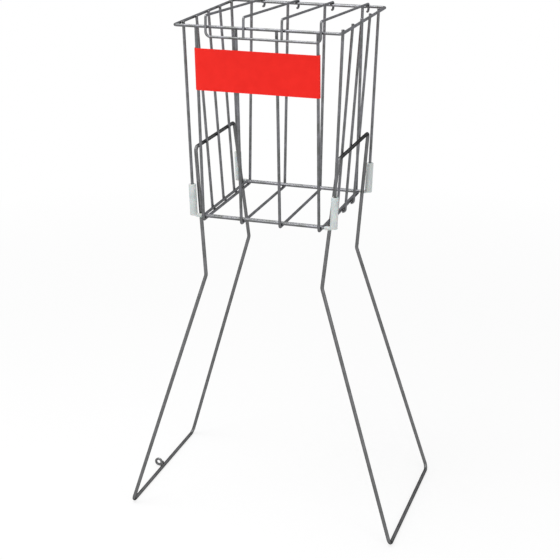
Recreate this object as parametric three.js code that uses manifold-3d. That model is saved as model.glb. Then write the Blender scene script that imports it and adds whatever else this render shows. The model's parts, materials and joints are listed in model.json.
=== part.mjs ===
// Ball hopper: a welded wire basket with a hinged wire lid, carried on two wire loops.
// Each loop is a pair of legs in use and swings up over the basket to be a carrying handle.
// Millimetres, +Z up, floor at z = 0, the basket's front towards -Y.
import * as THREE from "three";
import { mergeVertices } from "three/addons/utils/BufferGeometryUtils.js";
import Module from "manifold-3d";

const wasm = await Module();
wasm.setup();

// Wires
const rimWireRadius = 2.6;
const ringWireRadius = 2.5;
const basketWireRadius = 2;
const legWireRadius = 3;
const curlWireRadius = 2.5;
const clearance = 0.3;
const wireSides = 8;
const facetTurn = THREE.MathUtils.degToRad(24);
const fullTurn = 2 * Math.PI;

// Rim and bottom ring
const rimHeight = 851;
const rimHalf = 134;
const rimBend = 5;
const ringHeight = 538;
const ringHalfX = 103;
const ringBend = 8;

// Front-to-back rods, side rods and corner wires
const frontRodPlaces = [-100, -34.7, 30.7, 96];
const frontRodBend = 3.5;
const sideRodPlaces = [-52.5, 0, 52.5];
const sideHookReach = 0.5;
const cornerHalfY = 108;
const cornerFootHalfX = 118.9;
const cornerBend = 8;

// Plastic sleeves on the feet of the corner wires
const sleeveRadius = 6.1;
const sleeveRise = 52;
const sleeveChamfer = 0.8;
const sleeveSides = 16;
const elbowRadius = 3.1;
const elbowStartShare = 0.35;
const lipReach = 15;
const boreOverrun = 4;

// Front plate
const plateDrop = 34.5;
const plateHeight = 66.5;
const plateThickness = 1;
const hemWrap = THREE.MathUtils.degToRad(160);
const hemSegments = 4;

// Lid
const lidRodPitch = 61.2;
const lidOffset = 12;
const lidRodCount = 4;
const lidFrontGap = 1;
const lidDrop = 32;
const lidTopBend = 4;
const lidFrontBend = 8;
const hookDrop = 8;
const hookBend = 4.5;
const hookTip = 3;
const rearWireSetback = 10.5;
const lidLift = THREE.MathUtils.degToRad(2.8);

// Leg loops
const crossbarHeight = 647;
const crossbarBend = 9;
const kneeHeight = 434.7;
const kneeHalfY = 106.5;
const kneeBend = 14;
const footHalfY = 143.6;
const footBend = 10;
const foldedRimGap = 1;
const foldedBarHalfGap = 3.1;

// Curl that catches the other bar
const curlRadius = 6.3;
const curlLength = 9;
const curlTail = THREE.MathUtils.degToRad(40);
const curlSteps = 22;

const axisX = new THREE.Vector3(1, 0, 0);
const axisY = new THREE.Vector3(0, 1, 0);
const axisZ = new THREE.Vector3(0, 0, 1);

// Places worked out from the sizes above
const sleeveTop = ringHeight + sleeveRise;
const plateTop = rimHeight - plateDrop;
const plateBottom = plateTop - plateHeight;
const rimTop = rimHeight + rimWireRadius;
const rodTopReach = rimHalf - rimWireRadius - clearance - basketWireRadius;
const ringHalfY = cornerHalfY - basketWireRadius - clearance - ringWireRadius;
const underRingHeight = ringHeight - ringWireRadius - clearance - basketWireRadius;
const frontRodFootY = cornerHalfY + basketWireRadius + clearance + basketWireRadius;
const sideRodFootX = ringHalfX + ringWireRadius + clearance + basketWireRadius;

// Distance from the centre plane, at a height, of a wire that leans from the ring out to the rim
function leaningReach(footReach, height) {
  const share = (height - ringHeight) / (rimHeight - ringHeight);
  return THREE.MathUtils.lerp(footReach, rodTopReach, share);
}

const crossbarHalfX =
  leaningReach(sideRodFootX, crossbarHeight) + basketWireRadius + clearance + legWireRadius;
const kneeHalfX = 2 * crossbarHalfX - (rimHalf + rimWireRadius + foldedRimGap + legWireRadius);
const footHalfX = 2 * crossbarHalfX - (legWireRadius + foldedBarHalfGap);
const footHeight = legWireRadius * Math.cos(Math.PI / wireSides);

// The legs pass just inside the sleeves when they swing, which sets the crossbar's length
const legHalfYAtSleeve = cornerHalfY - sleeveRadius - clearance - legWireRadius;
const sleeveDropShare = (crossbarHeight - ringHeight) / (crossbarHeight - kneeHeight);
const crossbarHalfY = (legHalfYAtSleeve - kneeHalfY * sleeveDropShare) / (1 - sleeveDropShare);

// The curl is welded to the outside of its bar, as low as the floor allows
const curlOuterRadius = curlRadius + curlWireRadius;
const curlHeight = curlOuterRadius + clearance;
const curlSeat = legWireRadius + clearance + curlOuterRadius;
const curlReach = Math.sqrt(curlSeat ** 2 - (curlHeight - footHeight) ** 2);

// Centre line of a wire, sampled only where it bends
class WirePath extends THREE.Curve {
  constructor(stations, side, keepsSide) {
    super();
    this.stations = stations;
    this.side = side;
    this.keepsSide = keepsSide;
  }

  getPoint(t, target = new THREE.Vector3()) {
    const last = this.stations.length - 1;
    const index = Math.min(Math.floor(t * last), last - 1);
    return target.lerpVectors(this.stations[index], this.stations[index + 1], t * last - index);
  }

  getUtoTmapping(u) {
    return u;
  }

  runDirection(index) {
    const last = this.stations.length - 1;
    const from = THREE.MathUtils.clamp(index, 0, last - 1);
    return this.stations[from + 1].clone().sub(this.stations[from]).normalize();
  }

  // Each section faces halfway between the runs before and after it
  computeFrenetFrames() {
    const tangents = [];
    const normals = [];
    const binormals = [];
    let reference = this.side;
    this.stations.forEach((station, index) => {
      const tangent = this.runDirection(index - 1).add(this.runDirection(index)).normalize();
      const normal = reference.clone().projectOnPlane(tangent).normalize();
      tangents.push(tangent);
      normals.push(normal);
      binormals.push(tangent.clone().cross(normal));
      reference = this.keepsSide ? this.side : normal;
    });
    return { tangents, normals, binormals };
  }
}

// Stations of an open wire through its corners, each corner rounded to its bend radius
function bentStations(corners, bends) {
  const stations = [corners[0]];
  for (let i = 1; i < corners.length - 1; i += 1) {
    const arriving = corners[i].clone().sub(corners[i - 1]).normalize();
    const leaving = corners[i + 1].clone().sub(corners[i]).normalize();
    const turn = arriving.angleTo(leaving);
    const bend = bends[i - 1];
    const inward = leaving.clone().projectOnPlane(arriving).normalize();
    const start = corners[i].clone().addScaledVector(arriving, -bend * Math.tan(turn / 2));
    const centre = start.clone().addScaledVector(inward, bend);
    const facets = Math.ceil(turn / facetTurn);
    for (let facet = 0; facet <= facets; facet += 1) {
      const angle = (turn * facet) / facets;
      const station = centre.clone().addScaledVector(inward, -bend * Math.cos(angle));
      stations.push(station.addScaledVector(arriving, bend * Math.sin(angle)));
    }
  }
  stations.push(corners[corners.length - 1]);
  return stations;
}

// Stations of a closed wire, which starts and ends halfway along a straight run
function loopStations(corners, bends) {
  const seam = corners[0].clone().lerp(corners[corners.length - 1], 1 / 2);
  return bentStations([seam, ...corners, seam.clone()], bends);
}

function roundSection(radius, sides) {
  const corners = [];
  for (let i = 0; i < sides; i += 1) {
    const angle = ((i + 1 / 2) / sides) * fullTurn;
    corners.push(new THREE.Vector2(radius * Math.cos(angle), radius * Math.sin(angle)));
  }
  return new THREE.Shape(corners);
}

function sweptWire(stations, radius, side, { keepsSide = false, sides = wireSides } = {}) {
  return new THREE.ExtrudeGeometry(roundSection(radius, sides), {
    steps: stations.length - 1,
    extrudePath: new WirePath(stations, side, keepsSide),
  });
}

// A closed wire keeps only the walls of its sweep, welded where the two ends meet
function sweptLoop(stations, radius, side) {
  const sweep = sweptWire(stations, radius, side, { keepsSide: true });
  const walls = sweep.groups.find((part) => part.materialIndex === 1);
  const positions = sweep.attributes.position;
  const start = walls.start * positions.itemSize;
  const end = (walls.start + walls.count) * positions.itemSize;
  const loop = new THREE.BufferGeometry();
  const corners = positions.array.slice(start, end);
  loop.setAttribute("position", new THREE.BufferAttribute(corners, positions.itemSize));
  return mergeVertices(loop);
}

function toSolid(geometry) {
  const bare = geometry.clone();
  bare.deleteAttribute("normal");
  bare.deleteAttribute("uv");
  const merged = mergeVertices(bare);
  const triangles = [];
  for (let i = 0; i < merged.index.count; i += 3) {
    const [a, b, c] = [0, 1, 2].map((offset) => merged.index.getX(i + offset));
    if (a !== b && b !== c && c !== a) {
      triangles.push(a, b, c);
    }
  }
  const mesh = new wasm.Mesh({
    numProp: 3,
    vertProperties: Float32Array.from(merged.attributes.position.array),
    triVerts: Uint32Array.from(triangles),
  });
  return new wasm.Manifold(mesh);
}

function toGeometry(solid) {
  const mesh = solid.getMesh();
  const geometry = new THREE.BufferGeometry();
  geometry.setAttribute("position", new THREE.BufferAttribute(mesh.vertProperties, 3));
  geometry.setIndex(new THREE.BufferAttribute(mesh.triVerts, 1));
  return geometry;
}

const steel = { color: 0x85878c, roughness: 0.35, metalness: 0.85 };
const legSteel = { color: 0x6b6c6f, roughness: 0.4, metalness: 0.85 };
const greyPlastic = { color: 0xcdd0cf, roughness: 0.5, metalness: 0 };
const redPlate = { color: 0xe8302a, roughness: 0.4, metalness: 0 };

function addPiece(group, name, geometry, look) {
  geometry.computeVertexNormals();
  const mesh = new THREE.Mesh(geometry, new THREE.MeshStandardMaterial(look));
  mesh.name = name;
  group.add(mesh);
}

function squareLoop(halfX, halfY, height, bend, radius) {
  const signs = [[1, -1], [1, 1], [-1, 1], [-1, -1]];
  const corners = signs.map(([x, y]) => new THREE.Vector3(x * halfX, y * halfY, height));
  return sweptLoop(loopStations(corners, corners.map(() => bend)), radius, axisZ);
}

// One wire down the front, back under the basket and up the rear
function frontRod(x) {
  const footY = leaningReach(frontRodFootY, underRingHeight);
  const topY = leaningReach(frontRodFootY, rimTop);
  const corners = [
    new THREE.Vector3(x, -topY, rimTop),
    new THREE.Vector3(x, -footY, underRingHeight),
    new THREE.Vector3(x, footY, underRingHeight),
    new THREE.Vector3(x, topY, rimTop),
  ];
  return sweptWire(bentStations(corners, [frontRodBend, frontRodBend]), basketWireRadius, axisX);
}

// A side wire ends in a short hook that hugs the ring from outside and below
function sideRod(sideSign, y) {
  const hugBend = ringWireRadius + clearance + basketWireRadius;
  const corners = [
    new THREE.Vector3(sideSign * leaningReach(sideRodFootX, rimTop), y, rimTop),
    new THREE.Vector3(sideSign * leaningReach(sideRodFootX, underRingHeight), y, underRingHeight),
    new THREE.Vector3(sideSign * (ringHalfX - sideHookReach), y, underRingHeight),
  ];
  return sweptWire(bentStations(corners, [hugBend]), basketWireRadius, axisY);
}

// The two corner verticals of one face and the cross wire between their feet
function cornerFrame(faceSign) {
  const y = faceSign * cornerHalfY;
  const topX = leaningReach(cornerFootHalfX, rimTop);
  const corners = [
    new THREE.Vector3(topX, y, rimTop),
    new THREE.Vector3(cornerFootHalfX, y, ringHeight),
    new THREE.Vector3(-cornerFootHalfX, y, ringHeight),
    new THREE.Vector3(-topX, y, rimTop),
  ];
  return sweptWire(bentStations(corners, [cornerBend, cornerBend]), basketWireRadius, axisY);
}

// Sleeve: a chamfered tube up the corner wire with a slimmer elbow on to the cross wire
function cornerSleeve(sideSign, faceSign) {
  const wirePoint = (height) => {
    const x = sideSign * leaningReach(cornerFootHalfX, height);
    return new THREE.Vector3(x, faceSign * cornerHalfY, height);
  };
  const lipPoint = (reach) => {
    const x = sideSign * (cornerFootHalfX - reach);
    return new THREE.Vector3(x, faceSign * cornerHalfY, ringHeight);
  };
  const foot = wirePoint(ringHeight);
  const top = wirePoint(sleeveTop);
  const length = foot.distanceTo(top);
  const profile = [
    new THREE.Vector2(0, 0),
    new THREE.Vector2(sleeveRadius - sleeveChamfer, 0),
    new THREE.Vector2(sleeveRadius, sleeveChamfer),
    new THREE.Vector2(sleeveRadius, length - sleeveChamfer),
    new THREE.Vector2(sleeveRadius - sleeveChamfer, length),
    new THREE.Vector2(0, length),
  ];
  const tube = new THREE.LatheGeometry(profile, sleeveSides);
  const upright = top.clone().sub(foot).normalize();
  tube.applyQuaternion(new THREE.Quaternion().setFromUnitVectors(axisY, upright));
  tube.translate(foot.x, foot.y, foot.z);

  const elbowStart = foot.clone().lerp(top, elbowStartShare);
  const elbowCorners = [elbowStart, foot, lipPoint(lipReach)];
  const elbow = sweptWire(bentStations(elbowCorners, [cornerBend]), elbowRadius, axisY, {
    sides: sleeveSides,
  });

  const boreTop = top.clone().addScaledVector(upright, boreOverrun);
  const boreCorners = [boreTop, foot, lipPoint(lipReach + boreOverrun)];
  const boreRadius = basketWireRadius + clearance;
  const bore = sweptWire(bentStations(boreCorners, [cornerBend]), boreRadius, axisY);
  return toGeometry(toSolid(tube).add(toSolid(elbow)).subtract(toSolid(bore)));
}

// Sheet plate whose two side hems are rolled round the outer front rods
function frontPlate() {
  const seat = basketWireRadius + clearance;
  const face = seat + plateThickness;
  const [left, right] = [frontRodPlaces[0], frontRodPlaces[frontRodPlaces.length - 1]];
  const frontAngle = -Math.PI / 2;
  const shape = new THREE.Shape();
  shape.moveTo(left, -face);
  shape.lineTo(right, -face);
  shape.absarc(right, 0, face, frontAngle, frontAngle + hemWrap, false);
  shape.absarc(right, 0, seat, frontAngle + hemWrap, frontAngle, true);
  shape.lineTo(left, -seat);
  shape.absarc(left, 0, seat, frontAngle, frontAngle - hemWrap, true);
  shape.absarc(left, 0, face, frontAngle - hemWrap, frontAngle, false);
  const foot = new THREE.Vector3(0, -leaningReach(frontRodFootY, plateBottom), plateBottom);
  const top = new THREE.Vector3(0, -leaningReach(frontRodFootY, plateTop), plateTop);
  const upright = top.clone().sub(foot).normalize();
  const plate = new THREE.ExtrudeGeometry(shape, {
    depth: foot.distanceTo(top),
    bevelEnabled: false,
    curveSegments: hemSegments,
  });
  const placed = new THREE.Matrix4().makeBasis(axisX, upright.clone().cross(axisX), upright);
  return plate.applyMatrix4(placed.setPosition(foot));
}

// Lid pieces are drawn about the hinge line, with the lid lying flat on the rim
const lidRodHeight = rimWireRadius + clearance + basketWireRadius;
const lidFrontY = -(2 * rimHalf + rimWireRadius + lidFrontGap + basketWireRadius);

function lidRodPlace(index) {
  return lidOffset + (index - (lidRodCount - 1) / 2) * lidRodPitch;
}

// The hook passes over the rear rim wire, down behind it and forward below it
function hookCorners(x) {
  return [
    new THREE.Vector3(x, -hookTip, -hookDrop),
    new THREE.Vector3(x, lidRodHeight, -hookDrop),
    new THREE.Vector3(x, lidRodHeight, lidRodHeight),
  ];
}
const hookBends = [hookBend, lidRodHeight];

function lidFrame() {
  const left = lidRodPlace(0);
  const right = lidRodPlace(lidRodCount - 1);
  const frontFoot = lidRodHeight - lidDrop;
  const corners = [
    ...hookCorners(left),
    new THREE.Vector3(left, lidFrontY, lidRodHeight),
    new THREE.Vector3(left, lidFrontY, frontFoot),
    new THREE.Vector3(right, lidFrontY, frontFoot),
    new THREE.Vector3(right, lidFrontY, lidRodHeight),
    ...hookCorners(right).reverse(),
  ];
  const frontBends = [lidTopBend, lidFrontBend, lidFrontBend, lidTopBend];
  const bends = [...hookBends, ...frontBends, ...hookBends.slice().reverse()];
  return sweptWire(bentStations(corners, bends), basketWireRadius, axisX);
}

function innerLidRod(index) {
  const x = lidRodPlace(index);
  const buttEnd = lidRodHeight - lidDrop + basketWireRadius + clearance;
  const corners = [
    ...hookCorners(x),
    new THREE.Vector3(x, lidFrontY, lidRodHeight),
    new THREE.Vector3(x, lidFrontY, buttEnd),
  ];
  return sweptWire(bentStations(corners, [...hookBends, lidTopBend]), basketWireRadius, axisX);
}

function lidRearWire() {
  const height = lidRodHeight - 2 * basketWireRadius - clearance;
  const ends = [0, lidRodCount - 1].map((index) => {
    return new THREE.Vector3(lidRodPlace(index), -rearWireSetback, height);
  });
  return sweptWire(ends, basketWireRadius, axisZ);
}

// Crossbar, two cranked legs and foot bar in one closed wire
function legLoop(sideSign) {
  const half = [
    new THREE.Vector3(sideSign * crossbarHalfX, crossbarHalfY, crossbarHeight),
    new THREE.Vector3(sideSign * kneeHalfX, kneeHalfY, kneeHeight),
    new THREE.Vector3(sideSign * footHalfX, footHalfY, footHeight),
  ];
  const otherHalf = half.map((corner) => corner.clone().setY(-corner.y)).reverse();
  const halfBends = [crossbarBend, kneeBend, footBend];
  const bends = [...halfBends, ...halfBends.slice().reverse()];
  return sweptLoop(loopStations([...half, ...otherHalf], bends), legWireRadius, axisX);
}

// One turn of wire from the bar's back, over the outside and down to a free end at the front
function handleCurl() {
  const barAngle = Math.atan2(footHeight - curlHeight, curlReach);
  const stations = [];
  for (let step = 0; step <= curlSteps; step += 1) {
    const share = step / curlSteps;
    const angle = barAngle - curlTail + share * (fullTurn + curlTail);
    stations.push(
      new THREE.Vector3(
        -footHalfX - curlReach + curlRadius * Math.cos(angle),
        curlLength * (share - 1 / 2),
        curlHeight + curlRadius * Math.sin(angle),
      ),
    );
  }
  return sweptWire(stations, curlWireRadius, axisY, { keepsSide: true });
}

const hopper = new THREE.Group();
hopper.name = "ball_hopper";
// The origin is under the middle of the whole footprint, curl included
hopper.position.x = (curlReach + curlOuterRadius - legWireRadius) / 2;

const basket = new THREE.Group();
addPiece(basket, "rim_wire", squareLoop(rimHalf, rimHalf, rimHeight, rimBend, rimWireRadius), steel);
const ring = squareLoop(ringHalfX, ringHalfY, ringHeight, ringBend, ringWireRadius);
addPiece(basket, "bottom_ring", ring, steel);
frontRodPlaces.forEach((x, index) => {
  addPiece(basket, `basket_rod_${index + 1}`, frontRod(x), steel);
});

const sides = { left: -1, right: 1 };
const faces = { front: -1, back: 1 };
for (const [faceName, faceSign] of Object.entries(faces)) {
  addPiece(basket, `${faceName}_corner_frame`, cornerFrame(faceSign), steel);
  for (const [sideName, sideSign] of Object.entries(sides)) {
    const name = `sleeve_${faceName}_${sideName}`;
    addPiece(basket, name, cornerSleeve(sideSign, faceSign), greyPlastic);
  }
}
for (const [sideName, sideSign] of Object.entries(sides)) {
  sideRodPlaces.forEach((y, index) => {
    addPiece(basket, `side_rod_${sideName}_${index + 1}`, sideRod(sideSign, y), steel);
  });
}
addPiece(basket, "front_plate", frontPlate(), redPlate);

const lid = new THREE.Group();
lid.position.set(0, rimHalf, rimHeight);
lid.rotation.x = -lidLift;
addPiece(lid, "lid_frame", lidFrame(), steel);
for (let index = 1; index < lidRodCount - 1; index += 1) {
  addPiece(lid, `lid_rod_${index + 1}`, innerLidRod(index), steel);
}
addPiece(lid, "lid_rear_wire", lidRearWire(), steel);

const legs = new THREE.Group();
for (const [sideName, sideSign] of Object.entries(sides)) {
  addPiece(legs, `${sideName}_leg_loop`, legLoop(sideSign), legSteel);
}
addPiece(legs, "handle_curl", handleCurl(), legSteel);

hopper.add(basket, lid, legs);

export default hopper;
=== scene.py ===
"""Looks of a wire ball hopper: round drawn wire, weld beads, plastic sleeves and a red plate."""
import json
import math
import random
from collections import namedtuple

import bpy
from mathutils import Matrix, Vector


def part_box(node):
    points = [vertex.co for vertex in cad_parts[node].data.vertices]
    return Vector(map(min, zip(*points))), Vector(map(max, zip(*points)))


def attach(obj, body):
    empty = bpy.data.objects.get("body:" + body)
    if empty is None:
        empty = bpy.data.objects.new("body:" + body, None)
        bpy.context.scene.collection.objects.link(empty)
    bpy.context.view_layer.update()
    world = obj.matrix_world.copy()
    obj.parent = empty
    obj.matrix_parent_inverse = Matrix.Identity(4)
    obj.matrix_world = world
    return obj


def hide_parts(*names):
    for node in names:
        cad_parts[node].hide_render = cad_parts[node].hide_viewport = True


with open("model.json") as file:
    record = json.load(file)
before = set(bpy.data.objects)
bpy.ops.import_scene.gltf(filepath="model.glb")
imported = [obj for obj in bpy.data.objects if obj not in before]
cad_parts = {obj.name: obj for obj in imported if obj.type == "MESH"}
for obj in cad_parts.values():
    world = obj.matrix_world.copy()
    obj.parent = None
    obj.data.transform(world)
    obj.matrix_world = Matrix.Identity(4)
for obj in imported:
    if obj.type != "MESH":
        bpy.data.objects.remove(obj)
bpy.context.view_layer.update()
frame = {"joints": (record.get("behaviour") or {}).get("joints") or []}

FULL_TURN = 2 * math.pi
QUARTER_TURN = math.pi / 2
EAST = Vector((1, 0, 0))
NORTH = Vector((0, 1, 0))
UP = Vector((0, 0, 1))
LEFT_AND_RIGHT = (("left", -1), ("right", 1))
FRONT_AND_BACK = (("front", -1), ("back", 1))

# Radii of the wires as the photo shows them, and the gap that a weld fills. Lengths are in metres
RIM_WIRE = 0.00235
RING_WIRE = 0.00235
ROD_WIRE = 0.0024
SIDE_WIRE = 0.00225
LID_WIRE = 0.002
LEG_WIRE = 0.003
CURL_WIRE = 0.0022
GAP = 0.0003

# The frame's wires have eight sides, whose flats lie at this share of the radius
SOLID_SIDES = 8
SOLID_FLAT_SHARE = math.cos(math.pi / SOLID_SIDES)
SOLID_RING_WIRE = 0.0025

# Basket: bend radii, and the feet of the corner and side wires
RIM_BEND = 0.005
RING_BEND = 0.008
FRONT_ROD_BEND = 0.0035
CORNER_BEND = 0.008
CORNER_FOOT_X = 0.1189
HOOK_REACH = 0.0002

# Lid: its bends, its front, its hinge hooks, and how far it rests open
LID_TOP_BEND = 0.004
LID_FRONT_BEND = 0.008
LID_DROP = 0.032
LID_FRONT_GAP = 0.001
LID_HOOK_DROP = 0.008
LID_HOOK_BEND = 0.0045
LID_HOOK_TIP = 0.003
LID_REAR_SETBACK = 0.0105
LID_LIFT = math.radians(2.8)

# Legs, and the gaps that are left when they are folded up
CROSSBAR_BEND = 0.009
KNEE_BEND = 0.014
FOOT_BEND = 0.010
KNEE_HEIGHT = 0.4347
KNEE_HALF_Y = 0.1065
FOLDED_RIM_GAP = 0.00125
FOLDED_BAR_HALF_GAP = 0.0031

# Curl on the left foot bar; a gather of 1 would turn its middle on the spot
CURL_RADIUS = 0.0058
CURL_LENGTH = 0.014
CURL_GATHER = 0.92
CURL_FORWARD = 0.002

# Sleeves; the elbow starts at a share of the sleeve's height
SLEEVE_RADIUS = 0.0061
SLEEVE_RISE = 0.052
SLEEVE_EDGE = 0.0008
ELBOW_RADIUS = 0.0031
ELBOW_START_SHARE = 0.35
ELBOW_REACH = 0.015

# Front plate
PLATE_THICKNESS = 0.001
PLATE_EDGE = PLATE_THICKNESS / 3
PLATE_HEM_WRAP = math.radians(160)

# Weld beads
WELD_HALF_LENGTH = 0.0021
WELD_HALF_WIDTH = 0.0016
WELD_HALF_THICKNESS = 0.0012
WELD_WOBBLE = 0.12
WELD_SEED = 7

# Fineness of the meshes; a cut edge is broken by a share of the wire's radius
WIRE_SIDES = 20
BEND_STEP = math.radians(6)
CURL_STEPS = 72
CUT_EDGE_SHARE = 0.18
SLEEVE_SIDES = 40
SLEEVE_EDGE_STEPS = 5
HEM_STEPS = 20
PLATE_EDGE_STEPS = 3
WELD_ROWS = 7
WELD_COLUMNS = 12
SHARP_ANGLE = math.radians(40)

# Patterns on the surfaces: a noise's scale is in spots per metre, a bump's depth in metres
Noise = namedtuple("Noise", "scale detail roughness")
Bump = namedtuple("Bump", "strength depth")
STEEL_CLOUDS = Noise(scale=70.0, detail=5.0, roughness=0.65)
STEEL_PITS = Noise(scale=600.0, detail=3.0, roughness=0.6)
DIE_STREAKS = Noise(scale=1500.0, detail=4.0, roughness=0.6)
HEAT_PATCHES = Noise(scale=300.0, detail=4.0, roughness=0.6)
PLASTIC_MOTTLE = Noise(scale=60.0, detail=3.0, roughness=0.5)
PLASTIC_GRAIN = Noise(scale=900.0, detail=2.0, roughness=0.5)
PIT_BUMP = Bump(strength=0.12, depth=0.0003)
STREAK_BUMP = Bump(strength=0.1, depth=0.0003)
BEAD_BUMP = Bump(strength=0.4, depth=0.0006)
GRAIN_BUMP = Bump(strength=0.1, depth=0.0003)
SUBSURFACE_SCALE = 0.004

# Places are scaled down along a wire, which draws its spots out into streaks
STREAK_SCALE = (1.0, 1.0, 0.03)

# Noise values at which a surface has its first and its second tone
STEEL_TONE_ENDS = (0.35, 0.65)
BEAD_TONE_ENDS = (0.4, 0.65)
PLASTIC_TONE_ENDS = (0.3, 0.7)

# Roughness from its lowest to its highest, for steel and plastic about their own value
STEEL_ROUGHNESS_SPREAD = (-0.08, 0.1)
PLASTIC_ROUGHNESS_SPREAD = (-0.05, 0.07)
BEAD_ROUGHNESS = (0.3, 0.55)

# Floor, world and lamps
WHITE = (1.0, 1.0, 1.0, 1.0)
FLOOR_TONE = (0.95, 0.95, 0.95, 1.0)
FLOOR_ROUGHNESS = 0.9
FLOOR_HALF = 12.0
FLOOR_DROP = 0.0005
FLOOR_WHITE_SHARE = 0.75
SHADOW_REACH = 0.5
SHADOW_END = 2.0
WORLD_STRENGTH = 0.5
LAMP_AIM_HEIGHT = 0.6
LOW_LAMP_HEIGHT = 0.45

# Camera, at the place found from the wires' corners in the photograph; lens and sensor in mm
CAMERA_PLACE = Vector((0.664, -2.028, 1.194))
CAMERA_AZIMUTH = math.radians(18.29)
CAMERA_ELEVATION = math.radians(20.42)
CAMERA_LENS = 85.1
SENSOR_WIDTH = 36.0


# Places from the frame
def middle(node, axis):
    """The middle of a frame node along one axis."""
    low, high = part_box(node)
    return (low[axis] + high[axis]) / 2


def half_span(node, axis):
    """Half of a frame node's extent along one axis."""
    low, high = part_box(node)
    return (high[axis] - low[axis]) / 2


PIVOTS = {joint["name"]: Vector(joint["pos_m"]) for joint in frame["joints"]}
RIGHT_PIVOT = PIVOTS["right_leg_fold"]
LEFT_PIVOT = PIVOTS["left_leg_fold"]
LID_PIVOT = PIVOTS["lid_hinge"]
CENTRE_X = (RIGHT_PIVOT.x + LEFT_PIVOT.x) / 2
ROD_PLACES = [middle(f"basket_rod_{number}", 0) for number in range(1, 5)]
SIDE_PLACES = [middle(f"side_rod_right_{number}", 1) for number in range(1, 4)]

RIM_HALF = LID_PIVOT.y
RIM_HEIGHT = LID_PIVOT.z
RIM_TOP = RIM_HEIGHT + RIM_WIRE
RING_HEIGHT = middle("bottom_ring", 2)
RING_HALF_X = half_span("bottom_ring", 0) - SOLID_RING_WIRE * SOLID_FLAT_SHARE
RING_HALF_Y = half_span("bottom_ring", 1) - SOLID_RING_WIRE * SOLID_FLAT_SHARE
UNDER_RING = RING_HEIGHT - RING_WIRE - GAP - ROD_WIRE
CORNER_Y = abs(middle("front_corner_frame", 1))
ROD_TOP_REACH = RIM_HALF - RIM_WIRE - GAP - ROD_WIRE
FRONT_ROD_FOOT_Y = CORNER_Y + 2 * ROD_WIRE + GAP
SIDE_ROD_FOOT_X = RING_HALF_X + RING_WIRE + GAP + SIDE_WIRE

# Half a turn about a crossbar brings the knees outside the rim and the foot bars side by side
CROSSBAR_X = (RIGHT_PIVOT.x - LEFT_PIVOT.x) / 2
CROSSBAR_HEIGHT = RIGHT_PIVOT.z
KNEE_X = 2 * CROSSBAR_X - (RIM_HALF + RIM_WIRE + FOLDED_RIM_GAP + LEG_WIRE)
FOOT_FLAT_LOSS = LEG_WIRE * (1 - SOLID_FLAT_SHARE)
FOOT_X = 2 * CROSSBAR_X - (LEG_WIRE + FOLDED_BAR_HALF_GAP) - FOOT_FLAT_LOSS
FOOT_Y = half_span("right_leg_loop", 1) - LEG_WIRE * SOLID_FLAT_SHARE
FOOT_HEIGHT = LEG_WIRE

# Each leg passes just inside a sleeve, and that sets how far apart the crossbar's ends are
DROP_SHARE = (CROSSBAR_HEIGHT - RING_HEIGHT) / (CROSSBAR_HEIGHT - KNEE_HEIGHT)
LEG_Y_AT_SLEEVE = CORNER_Y - SLEEVE_RADIUS - GAP - LEG_WIRE
CROSSBAR_Y = (LEG_Y_AT_SLEEVE - KNEE_HALF_Y * DROP_SHARE) / (1 - DROP_SHARE)

# The curl lies against the outer side of the left foot bar, just above the floor
CURL_OUTER = CURL_RADIUS + CURL_WIRE
CURL_HEIGHT = CURL_OUTER + GAP
CURL_REACH = math.sqrt((LEG_WIRE + GAP + CURL_OUTER) ** 2 - (CURL_HEIGHT - FOOT_HEIGHT) ** 2)
BAR_ANGLE = math.atan2(FOOT_HEIGHT - CURL_HEIGHT, CURL_REACH)

# Lid sizes are measured from its hinge as it lies flat on the rim
LID_ROD_HEIGHT = RIM_WIRE + GAP + LID_WIRE * SOLID_FLAT_SHARE
LID_FRONT_Y = -(2 * RIM_HALF + RIM_WIRE + LID_FRONT_GAP + LID_WIRE)
LID_FRONT_FOOT = LID_ROD_HEIGHT - LID_DROP
INNER_LID_RODS = [middle("lid_rod_2", 0), middle("lid_rod_3", 0)]
LID_ROD_PITCH = INNER_LID_RODS[1] - INNER_LID_RODS[0]
LID_RODS = [INNER_LID_RODS[0] - LID_ROD_PITCH, *INNER_LID_RODS, INNER_LID_RODS[1] + LID_ROD_PITCH]
HOOK_BENDS = [LID_HOOK_BEND, LID_ROD_HEIGHT]


def placed(x, y, z):
    """A point given about the basket's centre plane."""
    return Vector((CENTRE_X + x, y, z))


def leaning_reach(foot_reach, height):
    """Distance from the middle, at a height, of a wire that leans from the ring to the rim."""
    share = (height - RING_HEIGHT) / (RIM_HEIGHT - RING_HEIGHT)
    return foot_reach + (ROD_TOP_REACH - foot_reach) * share


# Centre lines
def bent(corners, bends):
    """Points of an open wire through its corners, each rounded to its bend radius."""
    points = [corners[0]]
    for before, corner, after, bend in zip(corners, corners[1:], corners[2:], bends):
        arriving = (corner - before).normalized()
        leaving = (after - corner).normalized()
        turn = arriving.angle(leaving)
        inward = (leaving - arriving * leaving.dot(arriving)).normalized()
        start = corner - arriving * (bend * math.tan(turn / 2))
        steps = max(2, math.ceil(turn / BEND_STEP))
        for index in range(steps + 1):
            angle = turn * index / steps
            across = inward * (bend * (1 - math.cos(angle)))
            points.append(start + across + arriving * (bend * math.sin(angle)))
    points.append(corners[-1])
    return points


def bent_loop(corners, bends):
    """Points of a closed wire, starting halfway along a straight run, without the repeat."""
    seam = (corners[0] + corners[-1]) / 2
    return bent([seam, *corners, seam], bends)[:-1]


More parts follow.
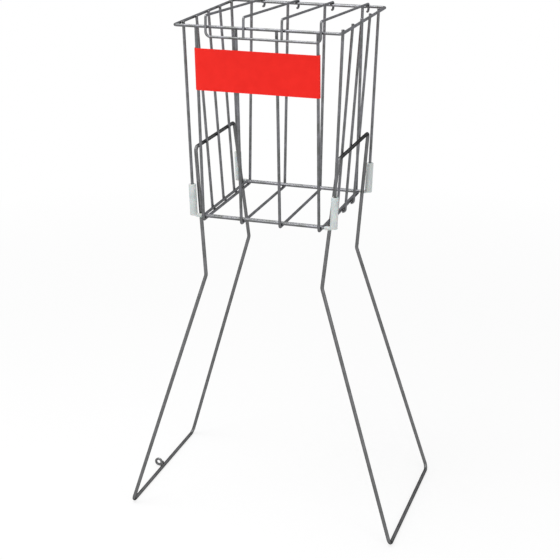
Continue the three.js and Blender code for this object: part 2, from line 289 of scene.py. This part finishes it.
def ring_axes(points, closed):
    """Tangent and two cross directions at each point, turned as little as possible between them."""
    count = len(points)
    tangents = []
    for index in range(count):
        before = points[index - 1] if closed or index > 0 else points[index]
        after = points[(index + 1) % count] if closed or index < count - 1 else points[index]
        tangents.append((after - before).normalized())
    crosswise = min(range(3), key=lambda axis: abs(tangents[0][axis]))
    side = Vector([float(axis == crosswise) for axis in range(3)])
    axes = []
    for tangent in tangents:
        side = (side - tangent * side.dot(tangent)).normalized()
        axes.append((tangent, side, tangent.cross(side)))
    return axes


# Meshes
def new_object(name, vertices, faces, drawn=None):
    """A mesh object, smooth but for its sharp edges; drawn is each vertex's place on its wire."""
    mesh = bpy.data.meshes.new(name)
    mesh.from_pydata(vertices, [], faces)
    mesh.shade_smooth()
    mesh.set_sharp_from_angle(angle=SHARP_ANGLE)
    if drawn is not None:
        places = mesh.attributes.new("drawn", "FLOAT_VECTOR", "POINT")
        places.data.foreach_set("vector", [number for place in drawn for number in place])
    mesh.update()
    piece = bpy.data.objects.new(name, mesh)
    bpy.context.scene.collection.objects.link(piece)
    return piece


def ring_faces(count, sides, closed=False, seam_turn=0):
    """Faces between neighbouring rings, with capped ends unless the last ring meets the first."""
    faces = []
    for ring in range(count if closed else count - 1):
        here = ring * sides
        there = (ring + 1) % count * sides
        shift = seam_turn if ring == count - 1 else 0
        for index in range(sides):
            follower = (index + 1) % sides
            faces.append((
                here + index,
                here + follower,
                there + (follower + shift) % sides,
                there + (index + shift) % sides,
            ))
    if not closed:
        faces.append(tuple(reversed(range(sides))))
        faces.append(tuple(range((count - 1) * sides, count * sides)))
    return faces


def seam_shift(first_axes, last_axes, sides):
    """How many sides a closed wire's first ring is turned from its last."""
    _, first_side, _ = first_axes
    _, last_side, last_up = last_axes
    angle = math.atan2(last_up.dot(first_side), last_side.dot(first_side))
    return -round(angle / FULL_TURN * sides) % sides


def with_broken_ends(rings):
    """The rings of an open wire, with a small chamfer at each cut end."""
    first, first_axes, radius = rings[0]
    last, last_axes, _ = rings[-1]
    chamfer = radius * CUT_EDGE_SHARE
    return [
        (first, first_axes, radius - chamfer),
        (first + first_axes[0] * chamfer, first_axes, radius),
        *rings[1:-1],
        (last - last_axes[0] * chamfer, last_axes, radius),
        (last, last_axes, radius - chamfer),
    ]


def tube(name, points, radius, closed=False, sides=WIRE_SIDES):
    """A round wire along points, its cut ends slightly broken."""
    axes = ring_axes(points, closed)
    rings = [(point, point_axes, radius) for point, point_axes in zip(points, axes)]
    if not closed:
        rings = with_broken_ends(rings)
    vertices = []
    drawn = []
    along = 0.0
    previous = rings[0][0]
    for point, (_, side, up), ring_radius in rings:
        along += (point - previous).length
        previous = point
        for index in range(sides):
            angle = FULL_TURN * index / sides
            outward = side * math.cos(angle) + up * math.sin(angle)
            vertices.append(point + outward * ring_radius)
            drawn.append((ring_radius * math.cos(angle), ring_radius * math.sin(angle), along))
    seam_turn = seam_shift(axes[0], axes[-1], sides) if closed else 0
    return new_object(name, vertices, ring_faces(len(rings), sides, closed, seam_turn), drawn)


def revolved(name, foot, top, profile, sides):
    """A closed profile of (distance along, radius) pairs turned about the line from foot to top."""
    upright, side, across = ring_axes([foot, top], closed=False)[0]
    vertices = []
    for along, radius in profile:
        for index in range(sides):
            angle = FULL_TURN * index / sides
            outward = side * math.cos(angle) + across * math.sin(angle)
            vertices.append(foot + upright * along + outward * radius)
    return new_object(name, vertices, ring_faces(len(profile), sides, closed=True))


def joined(name, pieces):
    """Several new mesh objects made into one."""
    vertices = []
    faces = []
    for piece in pieces:
        offset = len(vertices)
        vertices.extend(vertex.co.copy() for vertex in piece.data.vertices)
        faces.extend([offset + i for i in polygon.vertices] for polygon in piece.data.polygons)
        bpy.data.objects.remove(piece)
    return new_object(name, vertices, faces)


def united(name, base, addition):
    """Two overlapping solids made into one, without the faces inside."""
    union = base.modifiers.new("union", "BOOLEAN")
    union.operation = "UNION"
    union.solver = "EXACT"
    union.object = addition
    mesh = base.evaluated_get(bpy.context.evaluated_depsgraph_get()).to_mesh()
    vertices = [vertex.co.copy() for vertex in mesh.vertices]
    faces = [list(polygon.vertices) for polygon in mesh.polygons]
    bpy.data.objects.remove(base)
    bpy.data.objects.remove(addition)
    return new_object(name, vertices, faces)


# Material nodes
def new_material(name):
    """A material with its nodes and links."""
    material = bpy.data.materials.new(name)
    material.use_nodes = True
    return material, material.node_tree.nodes, material.node_tree.links


def add_scaling(nodes, links, source, scale):
    scaling = nodes.new("ShaderNodeMapping")
    scaling.inputs["Scale"].default_value = scale
    links.new(source, scaling.inputs["Vector"])
    return scaling.outputs["Vector"]


def add_noise(nodes, links, source, noise):
    texture = nodes.new("ShaderNodeTexNoise")
    texture.inputs["Scale"].default_value = noise.scale
    texture.inputs["Detail"].default_value = noise.detail
    texture.inputs["Roughness"].default_value = noise.roughness
    links.new(source, texture.inputs["Vector"])
    return texture.outputs["Fac"]


def add_ramp(nodes, links, source, ends, tones):
    """Runs from the first tone to the second between two values of the source."""
    ramp = nodes.new("ShaderNodeValToRGB")
    for element, position, tone in zip(ramp.color_ramp.elements, ends, tones):
        element.position = position
        element.color = (*tone, 1)
    links.new(source, ramp.inputs["Fac"])
    return ramp.outputs["Color"]


def add_range(nodes, links, source, low, high):
    spread = nodes.new("ShaderNodeMapRange")
    spread.inputs["To Min"].default_value = low
    spread.inputs["To Max"].default_value = high
    links.new(source, spread.inputs["Value"])
    return spread.outputs["Result"]


def add_bump(nodes, links, source, bump):
    relief = nodes.new("ShaderNodeBump")
    relief.inputs["Strength"].default_value = bump.strength
    relief.inputs["Distance"].default_value = bump.depth
    links.new(source, relief.inputs["Height"])
    return relief.outputs["Normal"]


def add_math(nodes, links, operation, first, second):
    math_node = nodes.new("ShaderNodeMath")
    math_node.operation = operation
    links.new(first, math_node.inputs[0])
    links.new(second, math_node.inputs[1])
    return math_node.outputs["Value"]


def dress(links, shader, colour, roughness, normal):
    """Feeds the three sockets that vary over a surface."""
    links.new(colour, shader.inputs["Base Color"])
    links.new(roughness, shader.inputs["Roughness"])
    links.new(normal, shader.inputs["Normal"])


# Materials
def steel_material(name, tones, painted_edge_shade, roughness):
    """Plated drawn wire: cloudy tone, with painted shade darkening it towards its edges, die
    streaks and fine pits.
    """
    material, nodes, links = new_material(name)
    shader = nodes["Principled BSDF"]
    shader.inputs["Metallic"].default_value = 1.0
    # A specular tint below white is painted shade: it darkens the wire's reflection towards its
    # edges
    shader.inputs["Specular Tint"].default_value = (*painted_edge_shade, 1)
    place = nodes.new("ShaderNodeTexCoord").outputs["Object"]
    clouds = add_noise(nodes, links, place, STEEL_CLOUDS)
    drawn = nodes.new("ShaderNodeAttribute")
    drawn.attribute_name = "drawn"
    along_wire = add_scaling(nodes, links, drawn.outputs["Vector"], STREAK_SCALE)
    streaks = add_noise(nodes, links, along_wire, DIE_STREAKS)
    pits = add_noise(nodes, links, place, STEEL_PITS)
    streaked = add_bump(nodes, links, streaks, STREAK_BUMP)
    links.new(add_bump(nodes, links, pits, PIT_BUMP), streaked.node.inputs["Normal"])
    low, high = [roughness + change for change in STEEL_ROUGHNESS_SPREAD]
    dress(
        links,
        shader,
        colour=add_ramp(nodes, links, clouds, STEEL_TONE_ENDS, tones),
        roughness=add_range(nodes, links, streaks, low, high),
        normal=streaked,
    )
    return material


def weld_material(name, tones):
    """A rough grey bead, heat-tinted in patches."""
    material, nodes, links = new_material(name)
    shader = nodes["Principled BSDF"]
    shader.inputs["Metallic"].default_value = 1.0
    place = nodes.new("ShaderNodeTexCoord").outputs["Object"]
    patches = add_noise(nodes, links, place, HEAT_PATCHES)
    dress(
        links,
        shader,
        colour=add_ramp(nodes, links, patches, BEAD_TONE_ENDS, tones),
        roughness=add_range(nodes, links, patches, *BEAD_ROUGHNESS),
        normal=add_bump(nodes, links, patches, BEAD_BUMP),
    )
    return material


def plastic_material(name, tones, roughness, subsurface, specular):
    """Vinyl, or a coat on sheet metal: faint mottling and a fine moulded grain."""
    material, nodes, links = new_material(name)
    shader = nodes["Principled BSDF"]
    shader.inputs["Subsurface Weight"].default_value = subsurface
    shader.inputs["Subsurface Scale"].default_value = SUBSURFACE_SCALE
    shader.inputs["Specular IOR Level"].default_value = specular
    place = nodes.new("ShaderNodeTexCoord").outputs["Object"]
    mottle = add_noise(nodes, links, place, PLASTIC_MOTTLE)
    grain = add_noise(nodes, links, place, PLASTIC_GRAIN)
    low, high = [roughness + change for change in PLASTIC_ROUGHNESS_SPREAD]
    dress(
        links,
        shader,
        colour=add_ramp(nodes, links, mottle, PLASTIC_TONE_ENDS, tones),
        roughness=add_range(nodes, links, grain, low, high),
        normal=add_bump(nodes, links, grain, GRAIN_BUMP),
    )
    return material


SLOT_MATERIALS = {
    "basket_steel": steel_material(
        "basket_steel",
        tones=[(0.122, 0.126, 0.122), (0.195, 0.195, 0.213)],
        # Painted shade on the basket wires' edges
        painted_edge_shade=(0.55, 0.55, 0.57),
        roughness=0.35,
    ),
    "leg_steel": steel_material(
        "leg_steel",
        tones=[(0.13, 0.132, 0.132), (0.18, 0.18, 0.185)],
        # Painted shade, black, darkening the leg wires' edges the most
        painted_edge_shade=(0.0, 0.0, 0.0),
        roughness=0.37,
    ),
    "sleeve_plastic": plastic_material(
        "sleeve_plastic",
        tones=[(0.52, 0.56, 0.55), (0.61, 0.65, 0.645)],
        roughness=0.45,
        subsurface=0.15,
        specular=0.5,
    ),
    "red_plate": plastic_material(
        "red_plate",
        tones=[(0.8, 0.009, 0.003), (0.85, 0.013, 0.006)],
        roughness=0.4,
        subsurface=0.0,
        specular=0.25,
    ),
}
weld_bead = weld_material("weld_bead", tones=[(0.12, 0.12, 0.125), (0.2, 0.19, 0.17)])


def finished(piece, body, slot, *nodes, material=None):
    """Gives a piece its finish and body, and lets it stand for its frame nodes."""
    piece.data.materials.append(material or SLOT_MATERIALS[slot])
    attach(piece, body)
    if nodes:
        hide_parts(*nodes)


# Basket wires
def square_loop(name, half_x, half_y, height, bend, radius):
    signs = ((1, -1), (1, 1), (-1, 1), (-1, -1))
    corners = [placed(x * half_x, y * half_y, height) for x, y in signs]
    return tube(name, bent_loop(corners, [bend] * len(corners)), radius, closed=True)


def front_rod(name, x):
    """A wire down the front, back under the ring and up the rear."""
    top_y = leaning_reach(FRONT_ROD_FOOT_Y, RIM_HEIGHT)
    foot_y = leaning_reach(FRONT_ROD_FOOT_Y, UNDER_RING)
    corners = [
        Vector((x, -top_y, RIM_HEIGHT)),
        Vector((x, -foot_y, UNDER_RING)),
        Vector((x, foot_y, UNDER_RING)),
        Vector((x, top_y, RIM_HEIGHT)),
    ]
    return tube(name, bent(corners, [FRONT_ROD_BEND] * 2), ROD_WIRE)


def side_rod(name, side, y):
    """A wire down one side, its foot hooked under the ring."""
    hug = RING_WIRE + GAP + SIDE_WIRE
    corners = [
        placed(side * leaning_reach(SIDE_ROD_FOOT_X, RIM_TOP), y, RIM_TOP),
        placed(side * leaning_reach(SIDE_ROD_FOOT_X, UNDER_RING), y, UNDER_RING),
        placed(side * (RING_HALF_X - HOOK_REACH), y, UNDER_RING),
    ]
    return tube(name, bent(corners, [hug]), SIDE_WIRE)


def corner_frame(name, y):
    """Two corner wires and the cross wire between their feet, as one bent wire."""
    top_x = leaning_reach(CORNER_FOOT_X, RIM_TOP)
    corners = [
        placed(top_x, y, RIM_TOP),
        placed(CORNER_FOOT_X, y, RING_HEIGHT),
        placed(-CORNER_FOOT_X, y, RING_HEIGHT),
        placed(-top_x, y, RIM_TOP),
    ]
    return tube(name, bent(corners, [CORNER_BEND] * 2), ROD_WIRE)


# Sleeves
def sleeve_profile(length):
    """The outside with its rounded ends, then the bore, as (distance along, radius) pairs."""
    outer = SLEEVE_RADIUS - SLEEVE_EDGE
    profile = []
    for centre, start in ((SLEEVE_EDGE, -QUARTER_TURN), (length - SLEEVE_EDGE, 0.0)):
        for index in range(SLEEVE_EDGE_STEPS + 1):
            angle = start + QUARTER_TURN * index / SLEEVE_EDGE_STEPS
            along = centre + SLEEVE_EDGE * math.sin(angle)
            profile.append((along, outer + SLEEVE_EDGE * math.cos(angle)))
    bore = ROD_WIRE + GAP
    return [*profile, (length, bore), (0.0, bore)]


def sleeve(name, side, y):
    """A soft-edged tube on the corner wire, with a slimmer elbow under it."""
    foot, top = [
        placed(side * leaning_reach(CORNER_FOOT_X, height), y, height)
        for height in (RING_HEIGHT, RING_HEIGHT + SLEEVE_RISE)
    ]
    profile = sleeve_profile((top - foot).length)
    body = revolved(name + "_tube", foot, top, profile, SLEEVE_SIDES)
    elbow_top = foot.lerp(top, ELBOW_START_SHARE)
    elbow_tip = placed(side * (CORNER_FOOT_X - ELBOW_REACH), y, RING_HEIGHT)
    elbow_points = bent([elbow_top, foot, elbow_tip], [CORNER_BEND])
    elbow = tube(name + "_elbow", elbow_points, ELBOW_RADIUS, sides=SLEEVE_SIDES)
    return united(name, body, elbow)


# Front plate
def plate_outline(outside, inside):
    """The sheet seen along the rods, as (x, depth) pairs: outside from hem to hem, then inside."""
    left, right = ROD_PLACES[0], ROD_PLACES[-1]
    outline = []
    for centre, start, turn, radius in (
        (left, -QUARTER_TURN - PLATE_HEM_WRAP, PLATE_HEM_WRAP, outside),
        (right, -QUARTER_TURN, PLATE_HEM_WRAP, outside),
        (right, -QUARTER_TURN + PLATE_HEM_WRAP, -PLATE_HEM_WRAP, inside),
        (left, -QUARTER_TURN, -PLATE_HEM_WRAP, inside),
    ):
        for index in range(HEM_STEPS + 1):
            angle = start + turn * index / HEM_STEPS
            outline.append((centre + radius * math.cos(angle), radius * math.sin(angle)))
    return outline


def plate(name):
    """A sheet whose side hems are rolled round the outer front rods."""
    inside = ROD_WIRE + GAP
    outside = inside + PLATE_THICKNESS
    slope = (FRONT_ROD_FOOT_Y - ROD_TOP_REACH) / (RIM_HEIGHT - RING_HEIGHT)
    upright = Vector((0, slope, 1)).normalized()
    rearward = upright.cross(EAST)
    low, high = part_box("front_plate")
    span = (high.z - low.z - 2 * outside * abs(rearward.z)) / upright.z
    bottom = low.z + outside * abs(rearward.z)
    foot = Vector((0, -leaning_reach(FRONT_ROD_FOOT_Y, bottom), bottom))
    outline = plate_outline(outside, inside)
    count = len(outline)
    vertices = []
    for along in (0.0, span):
        for x, depth in outline:
            vertices.append(foot + EAST * x + rearward * depth + upright * along)
    faces = []
    for index in range(count):
        follower = (index + 1) % count
        faces.append((index, follower, count + follower, count + index))
    # The lower and the upper edge, between a point outside and its partner inside
    for index in range(count // 2 - 1):
        partner = count - 1 - index
        faces.append((index + 1, index, partner, partner - 1))
        faces.append((count + index, count + index + 1, count + partner - 1, count + partner))
    piece = new_object(name, vertices, faces)
    soften = piece.modifiers.new("soft_edges", "BEVEL")
    soften.width = PLATE_EDGE
    soften.segments = PLATE_EDGE_STEPS
    soften.limit_method = "ANGLE"
    return piece


# Lid
def lid_point(x, y, z):
    """A point given from the hinge for the flat lid, and lifted with it to its rest."""
    turned = Matrix.Rotation(-LID_LIFT, 3, "X") @ Vector((0, y, z))
    return Vector((x, LID_PIVOT.y + turned.y, LID_PIVOT.z + turned.z))


def hook_corners(x):
    """The corners of a rod's hinge hook, from its tip round the rim's rear wire."""
    return [
        lid_point(x, -LID_HOOK_TIP, -LID_HOOK_DROP),
        lid_point(x, LID_ROD_HEIGHT, -LID_HOOK_DROP),
        lid_point(x, LID_ROD_HEIGHT, LID_ROD_HEIGHT),
    ]


def lid_frame(name):
    """The outer rods and the front cross wire, as one bent wire with a hook at each end."""
    left, right = LID_RODS[0], LID_RODS[-1]
    corners = [
        *hook_corners(left),
        lid_point(left, LID_FRONT_Y, LID_ROD_HEIGHT),
        lid_point(left, LID_FRONT_Y, LID_FRONT_FOOT),
        lid_point(right, LID_FRONT_Y, LID_FRONT_FOOT),
        lid_point(right, LID_FRONT_Y, LID_ROD_HEIGHT),
        *reversed(hook_corners(right)),
    ]
    front_bends = [LID_TOP_BEND, LID_FRONT_BEND, LID_FRONT_BEND, LID_TOP_BEND]
    bends = [*HOOK_BENDS, *front_bends, *reversed(HOOK_BENDS)]
    return tube(name, bent(corners, bends), LID_WIRE)


def inner_lid_rod(name, x):
    """A hooked rod whose front end stands on the cross wire."""
    corners = [
        *hook_corners(x),
        lid_point(x, LID_FRONT_Y, LID_ROD_HEIGHT),
        lid_point(x, LID_FRONT_Y, LID_FRONT_FOOT + LID_WIRE + GAP),
    ]
    return tube(name, bent(corners, [*HOOK_BENDS, LID_TOP_BEND]), LID_WIRE)


def lid_rear_wire(name):
    """The straight wire under the rods, just in front of the hinge."""
    height = LID_ROD_HEIGHT - 2 * LID_WIRE - GAP
    ends = [lid_point(x, -LID_REAR_SETBACK, height) for x in (LID_RODS[0], LID_RODS[-1])]
    return tube(name, ends, LID_WIRE)


# Legs
def leg_loop(name, side):
    """Crossbar, two legs and foot bar, as one closed wire."""
    half = [
        (CROSSBAR_X, CROSSBAR_Y, CROSSBAR_HEIGHT),
        (KNEE_X, KNEE_HALF_Y, KNEE_HEIGHT),
        (FOOT_X, FOOT_Y, FOOT_HEIGHT),
    ]
    back = [placed(side * x, y, z) for x, y, z in half]
    front = [placed(side * x, -y, z) for x, y, z in reversed(half)]
    bends = [CROSSBAR_BEND, KNEE_BEND, FOOT_BEND]
    loop = bent_loop([*back, *front], [*bends, *reversed(bends)])
    return tube(name, loop, LEG_WIRE, closed=True)


def handle_curl(name):
    """One eye in a wire whose two ends lie along the foot bar."""
    points = []
    for index in range(CURL_STEPS + 1):
        share = index / CURL_STEPS
        # The wire turns most and moves along the bar least in its middle
        wave = math.sin(FULL_TURN * share) / FULL_TURN
        angle = BAR_ANGLE + FULL_TURN * (share - wave)
        along = CURL_LENGTH * (share - 0.5 + CURL_GATHER * wave)
        points.append(placed(
            -FOOT_X - CURL_REACH + CURL_RADIUS * math.cos(angle),
            along - CURL_FORWARD,
            CURL_HEIGHT + CURL_RADIUS * math.sin(angle),
        ))
    return tube(name, points, CURL_WIRE)


# Weld beads, one squashed drop for each crossing
weld_random = random.Random(WELD_SEED)


def weld(centre, across, along):
    """A bead at centre, thin across the two wires and longest along the joint."""
    across = across.normalized()
    along = (along - across * along.dot(across)).normalized()
    third = across.cross(along)
    vertices = []
    for row in range(WELD_ROWS):
        tilt = math.pi * (row + 0.5) / WELD_ROWS
        for column in range(WELD_COLUMNS):
            turn = FULL_TURN * column / WELD_COLUMNS
            wobble = 1 + weld_random.uniform(-WELD_WOBBLE, WELD_WOBBLE)
            vertices.append(
                centre
                + across * (WELD_HALF_THICKNESS * math.cos(tilt))
                + along * (WELD_HALF_LENGTH * wobble * math.sin(tilt) * math.cos(turn))
                + third * (WELD_HALF_WIDTH * wobble * math.sin(tilt) * math.sin(turn))
            )
    return new_object("bead", vertices, ring_faces(WELD_ROWS, WELD_COLUMNS))


def basket_welds():
    beads = []
    rim_inner = RIM_HALF - RIM_WIRE - GAP / 2
    ring_under = RING_HEIGHT - RING_WIRE - GAP / 2
    ring_outer = RING_HALF_X + RING_WIRE + GAP / 2
    crossing = CORNER_Y + ROD_WIRE + GAP / 2
    for _, face in FRONT_AND_BACK:
        for x in ROD_PLACES:
            beads.append(weld(Vector((x, face * rim_inner, RIM_HEIGHT)), NORTH, EAST))
            beads.append(weld(Vector((x, face * RING_HALF_Y, ring_under)), UP, EAST))
            beads.append(weld(Vector((x, face * crossing, RING_HEIGHT)), NORTH, EAST))
        for _, side in LEFT_AND_RIGHT:
            beads.append(weld(placed(side * rim_inner, face * CORNER_Y, RIM_HEIGHT), EAST, NORTH))
    for _, side in LEFT_AND_RIGHT:
        for y in SIDE_PLACES:
            beads.append(weld(placed(side * rim_inner, y, RIM_HEIGHT), EAST, NORTH))
            beads.append(weld(placed(side * ring_outer, y, RING_HEIGHT), EAST, NORTH))
    return joined("basket_welds", beads)


def lid_welds():
    beads = []
    under_rods = LID_ROD_HEIGHT - LID_WIRE - GAP / 2
    for x in LID_RODS:
        beads.append(weld(lid_point(x, -LID_REAR_SETBACK, under_rods), UP, EAST))
    butt = LID_FRONT_FOOT + LID_WIRE + GAP / 2
    for x in INNER_LID_RODS:
        beads.append(weld(lid_point(x, LID_FRONT_Y, butt), UP, EAST))
    return joined("lid_welds", beads)


def curl_welds():
    toward_bar = Vector((math.cos(BAR_ANGLE), 0, math.sin(BAR_ANGLE)))
    seat = placed(-FOOT_X, -CURL_FORWARD, FOOT_HEIGHT) - toward_bar * (LEG_WIRE + GAP / 2)
    reach = CURL_LENGTH / 2 - CURL_WIRE
    beads = [weld(seat + NORTH * end, toward_bar, NORTH) for end in (-reach, reach)]
    return joined("curl_welds", beads)


# The whole object
def build_basket():
    rim = square_loop("rim", RIM_HALF, RIM_HALF, RIM_HEIGHT, RIM_BEND, RIM_WIRE)
    finished(rim, "basket", "basket_steel", "rim_wire")
    ring = square_loop("ring", RING_HALF_X, RING_HALF_Y, RING_HEIGHT, RING_BEND, RING_WIRE)
    finished(ring, "basket", "basket_steel", "bottom_ring")
    for number, x in enumerate(ROD_PLACES, start=1):
        rod = front_rod(f"front_rod_{number}", x)
        finished(rod, "basket", "basket_steel", f"basket_rod_{number}")
    for side_name, side in LEFT_AND_RIGHT:
        for number, y in enumerate(SIDE_PLACES, start=1):
            rod = side_rod(f"side_wire_{side_name}_{number}", side, y)
            finished(rod, "basket", "basket_steel", f"side_rod_{side_name}_{number}")
    for face_name, face in FRONT_AND_BACK:
        wire = corner_frame(f"{face_name}_corner_wire", face * CORNER_Y)
        finished(wire, "basket", "basket_steel", f"{face_name}_corner_frame")
        for side_name, side in LEFT_AND_RIGHT:
            cover = sleeve(f"{face_name}_{side_name}_sleeve", side, face * CORNER_Y)
            finished(cover, "basket", "sleeve_plastic", f"sleeve_{face_name}_{side_name}")
    finished(plate("plate"), "basket", "red_plate", "front_plate")
    finished(basket_welds(), "basket", "basket_steel", material=weld_bead)


def build_lid():
    finished(lid_frame("lid_outer_wire"), "lid", "basket_steel", "lid_frame")
    for number, x in enumerate(INNER_LID_RODS, start=2):
        rod = inner_lid_rod(f"lid_wire_{number}", x)
        finished(rod, "lid", "basket_steel", f"lid_rod_{number}")
    finished(lid_rear_wire("lid_cross_wire"), "lid", "basket_steel", "lid_rear_wire")
    finished(lid_welds(), "lid", "basket_steel", material=weld_bead)


def build_legs():
    finished(leg_loop("left_leg_wire", -1), "left_leg", "leg_steel", "left_leg_loop")
    finished(leg_loop("right_leg_wire", 1), "right_leg", "leg_steel", "right_leg_loop")
    finished(handle_curl("bar_curl"), "left_leg", "leg_steel", "handle_curl")
    finished(curl_welds(), "left_leg", "leg_steel", material=weld_bead)


# Stage
def seen_rays(nodes, links):
    """1 for the camera's rays and for mirrored and refracted ones, and 0 for those that light."""
    path = nodes.new("ShaderNodeLightPath").outputs
    straight = add_math(nodes, links, "MAXIMUM", path["Is Camera Ray"], path["Is Glossy Ray"])
    return add_math(nodes, links, "MAXIMUM", straight, path["Is Transmission Ray"])


def mix_white(nodes, links, share, lit_shader, white_kind, output):
    """Mixes white over a lit shader by a share."""
    white = nodes.new(white_kind)
    white.inputs["Color"].default_value = WHITE
    mix = nodes.new("ShaderNodeMixShader")
    links.new(share, mix.inputs["Fac"])
    links.new(lit_shader, mix.inputs[1])
    links.new(white.outputs[0], mix.inputs[2])
    links.new(mix.outputs[0], output.inputs["Surface"])


def make_floor():
    corners = ((-1, -1), (1, -1), (1, 1), (-1, 1))
    vertices = [Vector((x * FLOOR_HALF, y * FLOOR_HALF, -FLOOR_DROP)) for x, y in corners]
    floor = new_object("floor", vertices, [(0, 1, 2, 3)])
    material, nodes, links = new_material("floor_white")
    shader = nodes["Principled BSDF"]
    shader.inputs["Base Color"].default_value = FLOOR_TONE
    shader.inputs["Roughness"].default_value = FLOOR_ROUGHNESS
    # White in the distance; round the object the lit floor shows in part, with the shadow
    distance = nodes.new("ShaderNodeVectorMath")
    distance.operation = "LENGTH"
    links.new(nodes.new("ShaderNodeTexCoord").outputs["Object"], distance.inputs[0])
    spread = add_range(nodes, links, distance.outputs["Value"], FLOOR_WHITE_SHARE, 1.0)
    spread.node.inputs["From Min"].default_value = SHADOW_REACH
    spread.node.inputs["From Max"].default_value = SHADOW_END
    share = add_math(nodes, links, "MULTIPLY", seen_rays(nodes, links), spread)
    output = nodes["Material Output"]
    mix_white(nodes, links, share, shader.outputs[0], "ShaderNodeEmission", output)
    floor.data.materials.append(material)


def make_world():
    """Plain white light all round, seen as white as well."""
    world = bpy.data.worlds.new("studio")
    world.use_nodes = True
    bpy.context.scene.world = world
    nodes, links = world.node_tree.nodes, world.node_tree.links
    fill = nodes["Background"]
    fill.inputs["Color"].default_value = WHITE
    fill.inputs["Strength"].default_value = WORLD_STRENGTH
    rays = seen_rays(nodes, links)
    mix_white(nodes, links, rays, fill.outputs[0], "ShaderNodeBackground", nodes["World Output"])


def area_lamp(name, place, aim, size, watts):
    data = bpy.data.lights.new(name, "AREA")
    data.shape = "RECTANGLE"
    data.size, data.size_y = size
    data.energy = watts
    lamp = bpy.data.objects.new(name, data)
    lamp.location = place
    lamp.rotation_euler = (Vector(aim) - Vector(place)).to_track_quat("-Z", "Y").to_euler()
    bpy.context.scene.collection.objects.link(lamp)


def make_lamps():
    aim = (CENTRE_X, 0, LAMP_AIM_HEIGHT)
    low_aim = (CENTRE_X, 0, LOW_LAMP_HEIGHT)
    area_lamp("key_lamp", place=(-0.1, -2.1, 2.2), aim=aim, size=(1.2, 0.9), watts=10)
    area_lamp("fill_lamp", place=(1.8, -1.8, 1.4), aim=aim, size=(1.0, 1.4), watts=13)
    low_place = (-1.6, -1.5, LOW_LAMP_HEIGHT)
    area_lamp("low_lamp", place=low_place, aim=low_aim, size=(0.4, 0.8), watts=3)
    area_lamp("top_lamp", place=(-0.5, -0.4, 2.7), aim=aim, size=(1.2, 1.2), watts=34)


def make_camera():
    data = bpy.data.cameras.new("camera")
    data.sensor_width = SENSOR_WIDTH
    data.lens = CAMERA_LENS
    camera = bpy.data.objects.new("camera", data)
    camera.location = CAMERA_PLACE + Vector((CENTRE_X, 0, 0))
    camera.rotation_euler = (QUARTER_TURN - CAMERA_ELEVATION, 0, CAMERA_AZIMUTH)
    bpy.context.scene.collection.objects.link(camera)
    bpy.context.scene.camera = camera


build_basket()
build_lid()
build_legs()
make_floor()
make_world()
make_lamps()
make_camera()
bpy.context.scene.view_settings.view_transform = "Standard"
